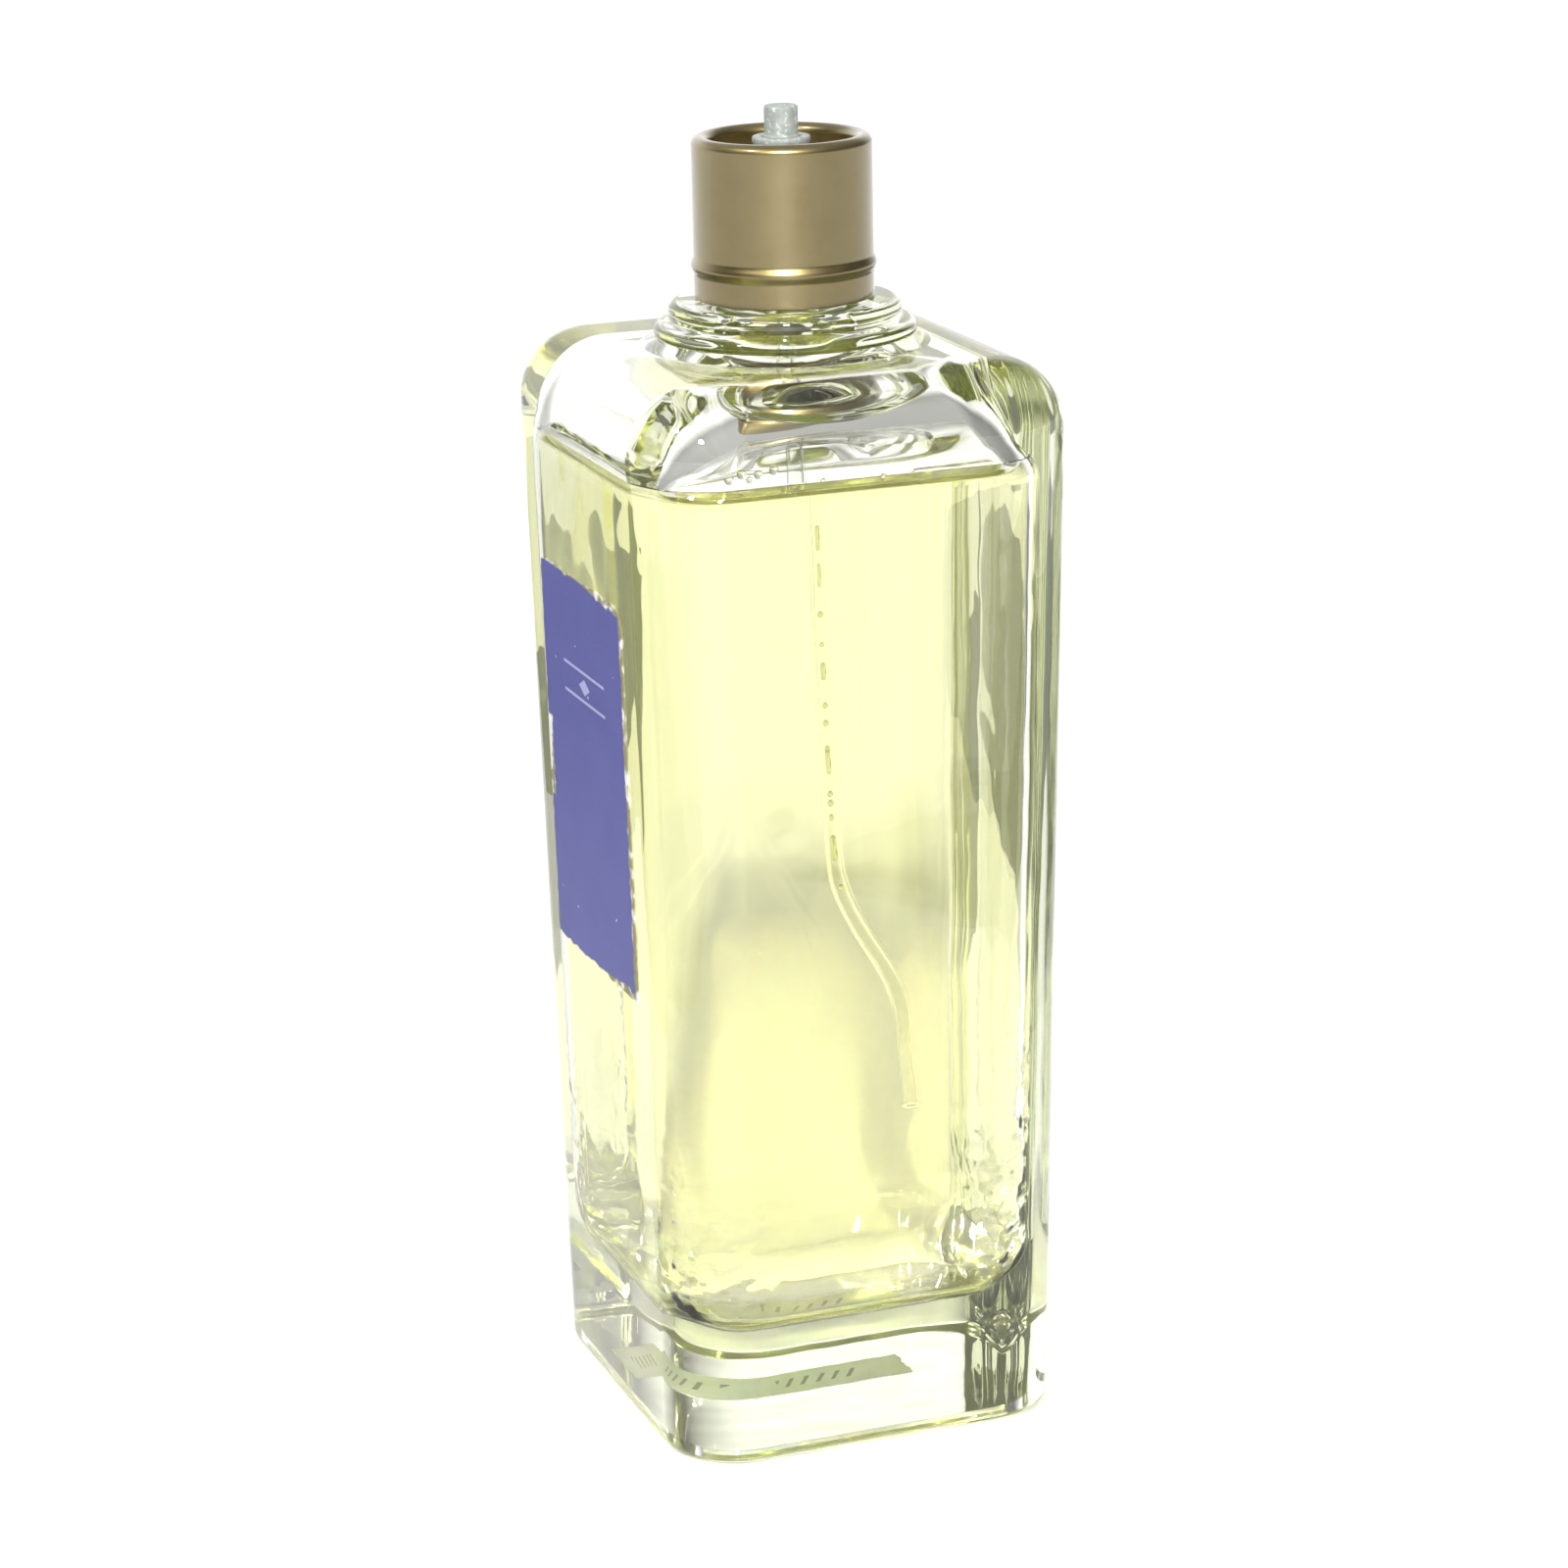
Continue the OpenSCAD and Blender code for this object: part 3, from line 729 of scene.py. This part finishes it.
cup_foot, cup_top = foot_and_top("crimp_cup")
cup = turned("crimped_cup", [
    (3.4, cup_top - 0.3), (7.35, cup_top - 0.3), (7.55, cup_top - 0.5), (7.55, cup_foot + 1.04),
    (6.75, cup_foot + 0.2), (7.0, cup_foot), (7.85, cup_foot + 0.9), (7.85, cup_top - 0.35),
    (7.75, cup_top - 0.1), (7.5, cup_top), (5.2, cup_top), (5.0, cup_top - 0.12), (4.4, cup_top - 0.12),
    (4.2, cup_top), (3.4, cup_top)], ring=True)
edged(cup, 0.05)
bare_aluminium, shader = finish(
    "bare_aluminium", (0.78, 0.71, 0.61), (0.88, 0.82, 0.73), (0.52, 0.46, 0.37), 0.45, 0.25, 0.15,
    stretch=3.0, scuff=0.7, level=0.6)
shader.inputs["Metallic"].default_value = 1.0
fitted(cup, "crimp_cup", "bottle", bare_aluminium)

def washer(name, node, inner, outer):
    """A plain turned ring between two radii in mm, as high as its CAD node."""
    low, high = foot_and_top(node)
    return turned(name, [(inner, low), (outer, low), (outer, high), (inner, high)], ring=True)


gasket = washer("mouth_gasket", "neck_gasket", 3.25, 7.2)
edged(gasket, 0.15)
black_rubber, shader = finish(
    "black_rubber", (0.035, 0.035, 0.035), (0.06, 0.06, 0.06), (0.10, 0.10, 0.10), 0.75, 0.15, 0.4,
    level=0.6)
fitted(gasket, "neck_gasket", "bottle", black_rubber)


# ---- Turret ----
# Translucent moulded flange and tower that the stem slides in, held down by the cup, with a rubber seal
# under its bore.

flange_z, tower_z = foot_and_top("turret")
turret = turned("pump_turret", [
    (2.9, flange_z), (6.6, flange_z), (6.6, flange_z + 0.9), (3.35, flange_z + 0.9), (3.35, flange_z + 1.5),
    (3.2, flange_z + 1.9), (2.85, flange_z + 2.15), (2.75, flange_z + 2.4), (2.75, tower_z - 0.8),
    (2.9, tower_z - 0.55), (2.9, tower_z - 0.2), (2.82, tower_z - 0.05), (2.7, tower_z), (2.1, tower_z),
    (1.93, tower_z - 0.1), (1.89, tower_z - 0.3), (1.89, flange_z + 0.6), (2.9, flange_z + 0.6)], ring=True)
edged(turret, 0.06)


def frosted(name):
    """Natural polypropylene with a moulded frost: it lets soft light into its surface."""
    material, shader = finish(
        name, (0.26, 0.29, 0.265), (0.40, 0.43, 0.40), (0.60, 0.63, 0.60), 0.5, 0.16, 0.75,
        tone=1.0, scuff=0.5, level=0.58)
    shader.inputs["Subsurface Weight"].default_value = 0.5
    shader.inputs["Subsurface Radius"].default_value = (1, 1, 1)
    shader.inputs["Subsurface Scale"].default_value = 0.6 * MM
    return material


frosted_turret = frosted("frosted_turret")
fitted(turret, "turret", "bottle", frosted_turret)

seal = washer("turret_seal", "stem_seal", 1.87, 2.9)
edged(seal, 0.1)
fitted(seal, "stem_seal", "bottle", black_rubber)


# ---- Pump housing ----
# Moulded grey chamber that hangs in the neck: a flange on the mouth, a straight barrel with a vent hole,
# and a funnel down to the socket that grips the dip tube.

socket_z, brim_z = foot_and_top("pump_housing")
housing = turned("housing_barrel", [
    (0.95, socket_z), (1.9, socket_z), (2.0, socket_z + 0.12), (2.05, socket_z + 0.5), (2.9, socket_z + 2.0),
    (3.2, socket_z + 2.7), (3.2, brim_z - 0.7), (6.6, brim_z - 0.7), (6.6, brim_z), (2.45, brim_z),
    (2.45, socket_z + 4.2), (0.9, socket_z + 4.2), (0.9, socket_z + 2.6), (0.5, socket_z + 2.2),
    (0.5, socket_z + 2), (0.95, socket_z + 2)], ring=True)
bpy.ops.object.select_all(action="DESELECT")
bpy.ops.mesh.primitive_cylinder_add(
    vertices=24, radius=0.3 * MM, depth=8 * MM, location=(0, 0, (socket_z + 11.9) * MM),
    rotation=(math.pi / 2, 0, 0))
vent = started("vent")
joined(housing, vent, "DIFFERENCE")
edged(housing, 0.08)
grey_plastic, shader = finish(
    "grey_plastic", (0.15, 0.145, 0.14), (0.22, 0.21, 0.20), (0.3, 0.3, 0.29), 0.4, 0.14, 0.3)
fitted(housing, "pump_housing", "bottle", grey_plastic)

seat_z, seat_top = foot_and_top("spring_seat")
seat = turned("spring_washer", [
    (0.5, seat_z), (2.45, seat_z), (2.45, seat_top), (2.3, seat_top), (2.2, seat_top - 0.1),
    (1.5, seat_top - 0.1), (1.4, seat_top), (0.5, seat_top)], ring=True, sides=64)
edged(seat, 0.04)
white_plastic, shader = finish(
    "white_plastic", (0.70, 0.70, 0.67), (0.80, 0.80, 0.78), (0.60, 0.60, 0.56), 0.4, 0.12, 0.25)
fitted(seat, "spring_seat", "bottle", white_plastic)


# ---- Stem and valve ----
# The frosted stem carries a white piston with two wiping lips. A poppet pin closes its lower end, and a
# small ball closes the tube's end of the chamber.

stem_z, tip_z = foot_and_top("stem")
stem = turned("pump_stem", [
    (0.5, stem_z), (1.85, stem_z), (1.85, stem_z + 3.9), (2.3, stem_z + 3.9), (2.3, stem_z + 4.67),
    (1.85, stem_z + 4.67), (1.85, tip_z - 2.95), (1.68, tip_z - 2.8), (1.68, tip_z - 0.25),
    (1.63, tip_z - 0.08), (1.5, tip_z), (0.85, tip_z), (0.72, tip_z - 0.08), (0.6, tip_z - 0.4),
    (0.6, stem_z + 1.9), (0.5, stem_z + 1.6)], ring=True)
edged(stem, 0.05)
frosted_stem = frosted("frosted_stem")
fitted(stem, "stem", "pump_stem", frosted_stem)

lip_z, crown_z = foot_and_top("piston")
piston = turned("piston_sleeve", [
    (1.85, lip_z), (2.35, lip_z), (2.43, lip_z + 0.12), (2.43, lip_z + 0.4), (2.1, lip_z + 0.95),
    (2.1, crown_z - 0.95), (2.43, crown_z - 0.4), (2.43, crown_z - 0.12), (2.35, crown_z), (1.85, crown_z)],
    ring=True, sides=64)
edged(piston, 0.03)
fitted(piston, "piston", "pump_stem", white_plastic)

pin_z, pin_top = foot_and_top("valve_pin")
pin = turned("poppet_pin", [
    (0.45, pin_z), (0.6, pin_z + 0.15), (0.6, pin_z + 1.5), (1.15, pin_z + 1.5), (1.15, pin_z + 2.07),
    (0.46, pin_z + 2.07), (0.46, pin_top - 0.3), (0.2, pin_top)], sides=48)
edged(pin, 0.04)
fitted(pin, "valve_pin", "poppet", white_plastic)

spring_steel, shader = finish(
    "spring_steel", (0.45, 0.45, 0.46), (0.60, 0.60, 0.61), (0.30, 0.29, 0.28), 0.22, 0.1, 0.15, scuff=0.4)
shader.inputs["Metallic"].default_value = 1.0
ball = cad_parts["inlet_ball"]
ball.data.materials.clear()
ball.data.materials.append(spring_steel)


# ---- Springs ----
# Two coils of drawn steel wire on the seat: the wide one lifts the piston, and the narrow one the poppet.

spring_turns = 6


def coil(name, node, coil_r, wire_r):
    """A round-wire spring that fills its CAD node's height."""
    coil_low, coil_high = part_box(node)
    rise = coil_high.z - coil_low.z - 2 * wire_r * MM
    bpy.ops.object.select_all(action="DESELECT")
    bpy.ops.mesh.primitive_circle_add(
        vertices=10, radius=wire_r * MM, location=(coil_r * MM, 0, coil_low.z + wire_r * MM),
        rotation=(math.pi / 2, 0, 0), fill_type="NOTHING")
    wire = started(name)
    step = wire.modifiers.new("turns", "SCREW")
    step.axis = "Z"
    step.angle = 2 * math.pi
    step.iterations = spring_turns
    step.screw_offset = rise / spring_turns
    step.steps = step.render_steps = 32
    bpy.ops.object.modifier_apply(modifier="turns")
    bpy.ops.object.mode_set(mode="EDIT")
    bpy.ops.mesh.select_mode(type="EDGE")
    bpy.ops.mesh.select_all(action="DESELECT")
    bpy.ops.mesh.select_non_manifold()
    bpy.ops.mesh.fill_holes(sides=0)
    bpy.ops.mesh.select_all(action="SELECT")
    bpy.ops.mesh.normals_make_consistent(inside=False)
    bpy.ops.object.mode_set(mode="OBJECT")
    bpy.ops.object.shade_smooth_by_angle(angle=math.radians(50))
    fitted(wire, node, "bottle", spring_steel)
    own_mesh(wire)


coil("return_coil", "return_spring", 2.08, 0.15)
coil("poppet_coil", "valve_spring", 0.88, 0.12)


# ---- Dip tube ----
# Clear fluoropolymer tube, pushed into the housing's socket and bent aside near its end. It bends light
# almost as the lotion does, so it nearly vanishes under the surface, where the air caught in its bore shows.

tube_r = 0.95 * MM
tube_wall = 0.35 * MM
socket_top = (socket_z + 2) * MM
tube_end = Vector((-1.6, 9.8, 30)) * MM
tube_lean = 0.35
bend_top = 58 * MM
bend_foot = 40 * MM
tube_steps = 80


def along_tube(f):
    """Point of the tube's centre line, from 0 in the socket to 1 at the tip. It leans, then bends aside."""
    z = socket_top + (tube_end.z - socket_top) * f
    t = min(1, max(0, (bend_top - z) / (bend_top - bend_foot)))
    aside = tube_lean * f * f + (1 - tube_lean) * t * t * (3 - 2 * t)
    return Vector((tube_end.x * aside, tube_end.y * aside, z))


line = bpy.data.curves.new("tube_line", "CURVE")
line.dimensions = "3D"
run = line.splines.new("POLY")
run.points.add(tube_steps)
for n, point in enumerate(run.points):
    point.co = (*along_tube(n / tube_steps), 1)
line.bevel_depth = tube_r
line.bevel_resolution = 5
tube = bpy.data.objects.new("clear_dip_tube", line)
bpy.context.collection.objects.link(tube)
only(tube)
bpy.ops.object.convert(target="MESH")
step = tube.modifiers.new("wall", "SOLIDIFY")
step.thickness = tube_wall
step.offset = -1
bpy.ops.object.modifier_apply(modifier="wall")
bpy.ops.object.mode_set(mode="EDIT")
bpy.ops.mesh.select_all(action="SELECT")
bpy.ops.mesh.normals_make_consistent(inside=False)
bpy.ops.object.mode_set(mode="OBJECT")
bpy.ops.object.shade_smooth_by_angle(angle=math.radians(50))


def cloudy(name, ior, color):
    """Clear plastic with a faint cloudiness in its gloss."""
    material, tree, shader = see_through(name, ior, color)
    cloud = pattern(tree, "ShaderNodeTexNoise", 1.5, Detail=3.0)
    tree.links.new(faded(tree, cloud.outputs["Fac"], 0.4, 0.7, 0.0, 0.12), shader.inputs["Roughness"])
    return material


tube.data.materials.append(cloudy("tube_in_air", 1.36, (0.93, 0.95, 0.92)))
tube.data.materials.append(cloudy("tube_in_lotion", 1.05, (1, 1, 0.97)))
for polygon in tube.data.polygons:
    polygon.material_index = int(polygon.center.z < fill_z)
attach(tube, "bottle")
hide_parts("dip_tube")


def slug(f, length, r):
    """A bubble in the tube's bore, stretched along it, with its length in mm."""
    bpy.ops.object.select_all(action="DESELECT")
    bpy.ops.mesh.primitive_uv_sphere_add(segments=16, ring_count=10, radius=r * MM, location=(0, 0, 0))
    bubble = started("slug")
    bpy.ops.object.mode_set(mode="EDIT")
    for sign in (-1, 1):
        pick(bubble, "verts", lambda v: v.co.z * sign > 0.05 * r * MM)
        bpy.ops.transform.translate(value=(0, 0, sign * max(0, length / 2 - r) * MM))
    bpy.ops.object.mode_set(mode="OBJECT")
    lean = along_tube(min(1, f + 0.02)) - along_tube(f)
    bubble.rotation_euler = (-lean).to_track_quat("Z", "Y").to_euler()
    bubble.location = along_tube(f)
    bpy.ops.object.transform_apply(location=True, rotation=True, scale=True)
    bpy.ops.object.shade_smooth()
    return bubble


chance = random.Random(5)
slugs = []
slug_z = 92.0
last_slug_z = 54
while slug_z > last_slug_z:
    length = chance.choice((0.5, 0.7, 1.1, 1.8, 2.6))
    f = (socket_top - slug_z * MM) / (socket_top - tube_end.z)
    slugs.append(slug(f, length, chance.uniform(0.2, 0.34)))
    slug_z -= length + chance.uniform(0.5, 2.6)
bubbles = merged(slugs, "tube_bubbles")
bubble_air, tree, shader = see_through("bubble_air", 1.33, (0.75, 0.75, 0.5), 0.05)
bubbles.data.materials.append(bubble_air)
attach(bubbles, "bottle")


# ---- Stage: floor, light and camera ----
# A wide white table top, two far softboxes, a pale room that is brightest overhead and behind, and a long
# lens a little above the collar. Two grey cards, seen only in glass and metal, darken the bottle's edges.

view_bearing = math.radians(69.78)
card_w = 0.22
card_l = 0.55
card_out = 0.25
card_back = 0.1
card_toe = 5


def matte(name, color):
    """A plain matte surface of the studio."""
    material, tree, shader = new_material(name)
    shader.inputs["Base Color"].default_value = (*color, 1)
    shader.inputs["Roughness"].default_value = 0.6
    return material


bpy.ops.object.select_all(action="DESELECT")
bpy.ops.mesh.primitive_plane_add(size=16, location=(0, 0, -0.05 * MM))
floor = started("floor")
floor.data.materials.append(matte("floor_white", (0.9, 0.9, 0.9)))
floor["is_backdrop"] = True
card_grey = matte("flag_grey", (0.15, 0.16, 0.15))
for side in (-1, 1):
    bpy.ops.mesh.primitive_plane_add(size=1, location=(0, 0, 0))
    card = started("flag")
    bpy.ops.object.mode_set(mode="EDIT")
    bpy.ops.transform.resize(value=(card_w, card_l, 1))
    bpy.ops.transform.rotate(value=math.radians(card_toe * side), orient_axis="Z", center_override=(0, 0, 0))
    bpy.ops.object.mode_set(mode="OBJECT")
    card.rotation_euler = (0, 0, view_bearing)
    card.location = Matrix.Rotation(view_bearing, 4, "Z") @ Vector((side * card_out, card_back, -0.02 * MM))
    bpy.ops.object.transform_apply(location=True, rotation=True, scale=True)
    card.data.materials.append(card_grey)
    card.visible_camera = card.visible_shadow = card.visible_diffuse = False
    card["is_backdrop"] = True

world = bpy.data.worlds.new("studio")
bpy.context.scene.world = world
world.use_nodes = True
tree = world.node_tree
sky = tree.nodes["Background"]
way = linked(tree, "ShaderNodeTexCoord")
facing = linked(tree, "ShaderNodeSeparateXYZ", None, Vector=way.outputs["Generated"])
walls = faded(tree, maths(tree, "ABSOLUTE", facing.outputs["Y"]), 0.25, 0.75, 0.17, 0.08)
overhead = faded(tree, facing.outputs["Z"], 0.2, 0.75, 1.0, 3.6)
behind = maths(tree, "MULTIPLY", faded(tree, facing.outputs["X"], -0.3, -0.8, 0.0, 1.15),
               faded(tree, facing.outputs["Z"], 0.6, 0.4))
room = maths(tree, "ADD", maths(tree, "MULTIPLY", walls, overhead), behind)
tree.links.new(room, sky.inputs["Strength"])
sky.inputs["Color"].default_value = (1, 1, 1, 1)


def soft_light(name, azimuth, elevation, spread, strength):
    """A far-off softbox at this bearing and height, as wide as spread, all in degrees."""
    bpy.ops.object.light_add(type="SUN")
    lamp = bpy.context.object
    lamp.name = name
    lamp.data.angle = math.radians(spread)
    lamp.data.energy = strength
    lamp.rotation_euler = (math.radians(90 - elevation), 0, math.radians(azimuth))


soft_light("front_softbox", 71, 32, 7, 3.9)
soft_light("side_softbox", 21, 45, 8, 0.8)

camera = bpy.data.objects.new("camera", bpy.data.cameras.new("camera"))
bpy.context.collection.objects.link(camera)
camera_place = (0.41153, -0.15271, 0.19372)
look_down = math.radians(16.42)
roll = math.radians(-1.2)
aim = Matrix.Rotation(view_bearing, 4, "Z") @ Matrix.Rotation(math.pi / 2 - look_down, 4, "X")
camera.matrix_world = Matrix.Translation(camera_place) @ aim @ Matrix.Rotation(roll, 4, "Z")
camera.data.lens = 102.1
camera.data.sensor_width = 36
camera.data.clip_start = 0.01
bpy.context.scene.camera = camera
bpy.context.scene.view_settings.view_transform = "Standard"
cycles = bpy.context.scene.cycles
cycles.max_bounces = 32
cycles.transmission_bounces = 32
cycles.glossy_bounces = 16
cycles.sample_clamp_indirect = 0
cycles.blur_glossy = 0

low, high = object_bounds()
